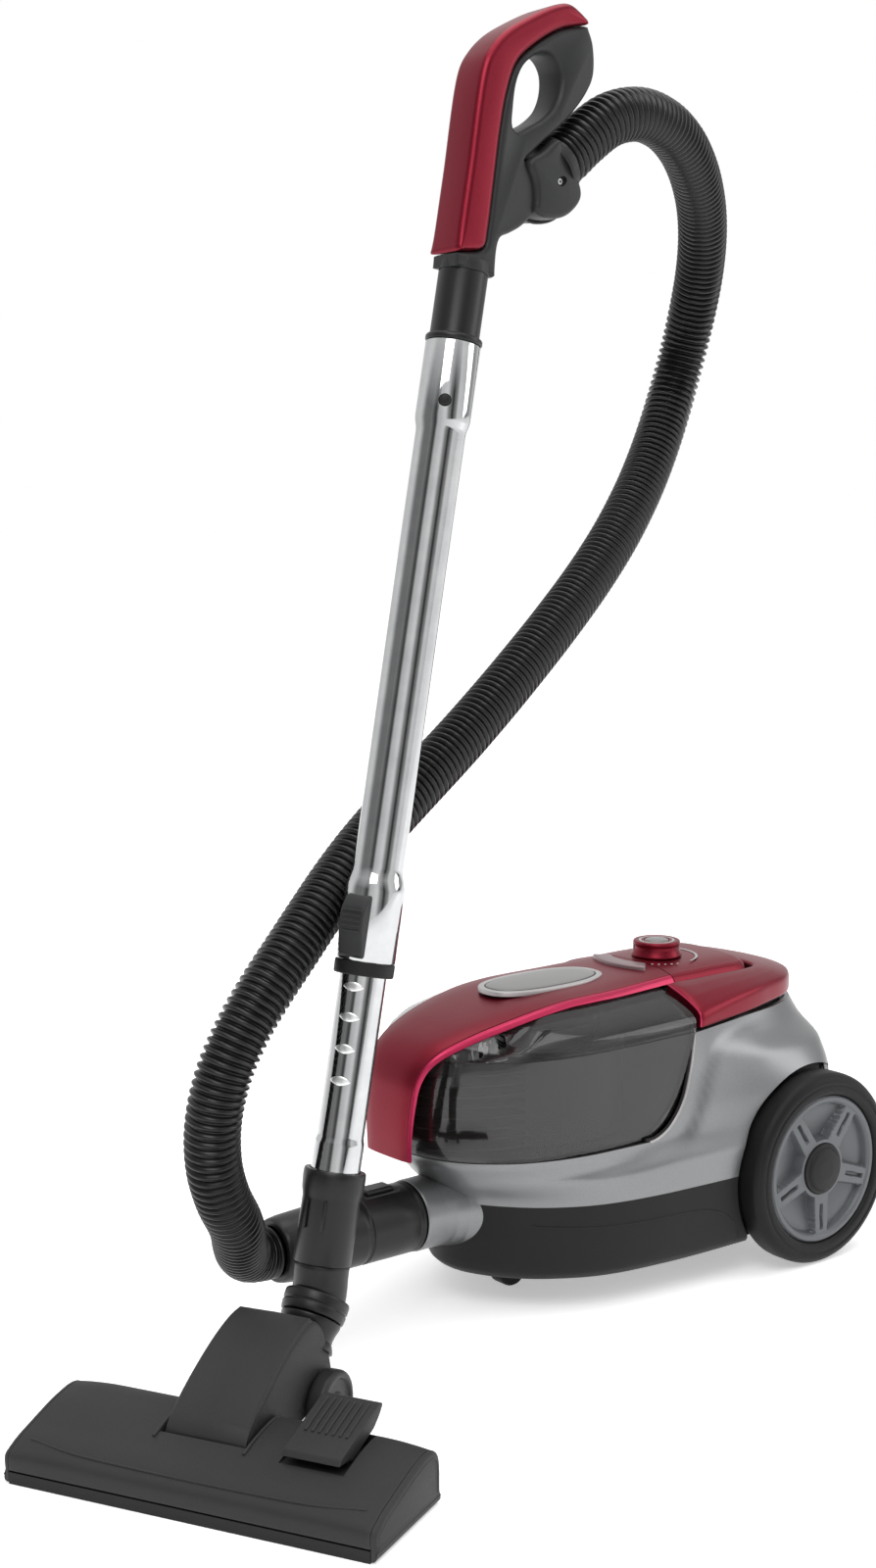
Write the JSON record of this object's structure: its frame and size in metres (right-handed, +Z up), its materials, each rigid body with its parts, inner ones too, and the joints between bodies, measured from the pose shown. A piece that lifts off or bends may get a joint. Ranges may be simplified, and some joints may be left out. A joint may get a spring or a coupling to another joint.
{
  "type": "canister vacuum cleaner",
  "caption": "Bagless canister vacuum cleaner with clear dust bin, corrugated hose, bent handle, telescopic chrome tube and wide floor head.",
  "frame": {"origin": "on the floor under the middle of the box around the object, measured without the free hose", "axes": "+Z up; X runs along the canister, whose front and hose port point to -X; the floor head lies towards -X and -Y"},
  "size_m": [0.8023, 0.4432, 0.9761],
  "materials": {
    "black": "matte",
    "silver": "satin metallic",
    "red": "satin metallic crimson",
    "grey": "fine matte texture",
    "satin": "satin",
    "chrome": "polished",
    "smoke": "clear smoky",
    "rubber": "smooth rubber",
    "steel": "brushed",
    "rim": "satin",
    "trim": "pearl satin",
    "hose": "glossy corrugated",
    "foam": "pleated filter medium"
  },
  "bodies": {
    "canister": {"base_pan": "black", "upper_shell": "silver", "bin_cradle": "black", "top_frame": "black", "control_deck": "red", "inlet_duct": "black", "hose_port": "silver", "port_seal": "rubber", "motor_housing": "black", "motor_body": "steel", "exhaust_filter": "foam", "exhaust_grille": "black", "cord_outlet": "black", "wheel_axle_left": "steel", "wheel_axle_right": "steel", "hose": "hose", "handle_spigot": "satin", "handle_body": "grey", "handle_cover": "red", "hose_housing": "grey", "housing_screw": "steel", "upper_tube": "chrome", "tube_ring_lower": "black"},
    "carry_handle": {"carry_handle": "red"},
    "power_knob": {"power_knob": "red"},
    "power_button": {"power_button": "trim"},
    "dust_bin": {"bin_cup": "smoke", "bin_lid": "smoke", "bin_cover": "red", "bin_badge": "trim", "cyclone_body": "grey", "cyclone_louvre": "grey"},
    "release_button": {"release_button": "trim"},
    "hose_cuff": {"hose_cuff": "satin"},
    "cuff_button": {"cuff_button": "satin"},
    "castor_fork": {"castor_fork": "black"},
    "castor_wheel": {"castor_wheel": "rubber"},
    "wheel_left": {"tyre_left": "rubber", "rim_left": "rim", "hub_cap_left": "black"},
    "wheel_right": {"tyre_right": "rubber", "rim_right": "rim", "hub_cap_right": "black"},
    "motor_fan": {"motor_fan": "steel"},
    "cord_reel": {"cord_reel": "black"},
    "tube_lock_button": {"tube_lock_button": "black"},
    "latch_slider": {"latch_slider": "grey"},
    "lower_tube": {"lower_tube": "chrome", "elbow_socket": "satin", "elbow_bend": "satin"},
    "neck": {"elbow_collar": "satin", "neck_housing": "grey"},
    "neck_wheel_left": {"neck_wheel_left": "grey"},
    "neck_wheel_right": {"neck_wheel_right": "grey"},
    "floor_head": {"head_shell": "grey", "end_cap_left": "grey", "end_cap_right": "grey", "sole_plate": "black"},
    "brush_pedal": {"brush_pedal": "grey"},
    "brush_strip": {"brush_strip": "black"}
  },
  "joints": [
    {"name": "carry_handle_fold", "type": "hinge", "parent": "canister", "child": "carry_handle", "pos_m": [0.21615, 0.09055, 0.23], "axis": [0, -1, 0], "range_deg": [0, 80]},
    {"name": "power_dial_turn", "type": "hinge", "parent": "canister", "child": "power_knob", "pos_m": [0.25165, 0.09055, 0.25], "axis": [0, 0, 1], "range_deg": [-135, 135]},
    {"name": "power_button_press", "type": "slide", "parent": "power_knob", "child": "power_button", "axis": [0, 0, -1], "range_m": [0, 0.0018], "stiffness_N_per_m": 400},
    {"name": "bin_lift_off", "type": "slide", "parent": "canister", "child": "dust_bin", "axis": [0, 0, 1], "range_m": [0, 0.12]},
    {"name": "bin_release_press", "type": "slide", "parent": "dust_bin", "child": "release_button", "axis": [0, 0, -1], "range_m": [0, 0.0025], "stiffness_N_per_m": 400},
    {"name": "cuff_swivel", "type": "hinge", "parent": "canister", "child": "hose_cuff", "pos_m": [-0.01235, 0.09055, 0.078], "axis": [1, 0, 0], "continuous": true},
    {"name": "cuff_button_press", "type": "slide", "parent": "hose_cuff", "child": "cuff_button", "axis": [0, 0, -1], "range_m": [0, 0.0018], "stiffness_N_per_m": 400},
    {"name": "castor_swivel", "type": "hinge", "parent": "canister", "child": "castor_fork", "pos_m": [0.10165, 0.09055, 0.03], "axis": [0, 0, 1], "continuous": true},
    {"name": "castor_roll", "type": "hinge", "parent": "castor_fork", "child": "castor_wheel", "pos_m": [0.08965, 0.09055, 0.013], "axis": [0, 1, 0], "continuous": true},
    {"name": "wheel_left_roll", "type": "hinge", "parent": "canister", "child": "wheel_left", "pos_m": [0.32165, -0.02445, 0.0795], "axis": [0, 1, 0], "continuous": true},
    {"name": "wheel_right_roll", "type": "hinge", "parent": "canister", "child": "wheel_right", "pos_m": [0.32165, 0.20555, 0.0795], "axis": [0, 1, 0], "continuous": true},
    {"name": "motor_spin", "type": "hinge", "parent": "canister", "child": "motor_fan", "pos_m": [0.26965, 0.10855, 0.118], "axis": [1, 0, 0], "continuous": true},
    {"name": "cord_reel_spin", "type": "hinge", "parent": "canister", "child": "cord_reel", "pos_m": [0.29465, 0.02255, 0.112], "axis": [0, 1, 0], "continuous": true},
    {"name": "tube_lock_press", "type": "slide", "parent": "canister", "child": "tube_lock_button", "axis": [0.6135, 0.7687, -0.1807], "range_m": [0, 0.0018], "stiffness_N_per_m": 400},
    {"name": "latch_slide", "type": "slide", "parent": "canister", "child": "latch_slider", "axis": [0.2225, 0.0513, 0.9736], "range_m": [0, 0.005], "stiffness_N_per_m": 300},
    {"name": "tube_telescope", "type": "slide", "parent": "canister", "child": "lower_tube", "axis": [0.2225, 0.0513, 0.9736], "range_m": [-0.12, 0.06]},
    {"name": "elbow_swivel", "type": "hinge", "parent": "lower_tube", "child": "neck", "pos_m": [-0.18135, -0.02475, 0.086], "axis": [0.5504, 0.2121, 0.8075], "range_deg": [-40, 40]},
    {"name": "neck_pitch", "type": "hinge", "parent": "neck", "child": "floor_head", "pos_m": [-0.29397, -0.06637, 0.026], "axis": [-0.4406, 0.8977, 0], "range_deg": [-10, 25]},
    {"name": "neck_wheel_left_roll", "type": "hinge", "parent": "neck", "child": "neck_wheel_left", "pos_m": [-0.23149, 0.00607, 0.025], "axis": [-0.4406, 0.8977, 0], "continuous": true},
    {"name": "neck_wheel_right_roll", "type": "hinge", "parent": "neck", "child": "neck_wheel_right", "pos_m": [-0.19845, -0.06126, 0.025], "axis": [-0.4406, 0.8977, 0], "continuous": true},
    {"name": "brush_pedal_rock", "type": "hinge", "parent": "floor_head", "child": "brush_pedal", "pos_m": [-0.25626, -0.13865, 0.037], "axis": [-0.4406, 0.8977, 0], "range_deg": [0, 10]},
    {"name": "brush_drop", "type": "slide", "parent": "floor_head", "child": "brush_strip", "axis": [0, 0, -1], "range_m": [0, 0.003]}
  ],
  "couplings": [
    {"joint": "brush_drop", "follows": "brush_pedal_rock", "m_per_rad": 0.01719}
  ]
}
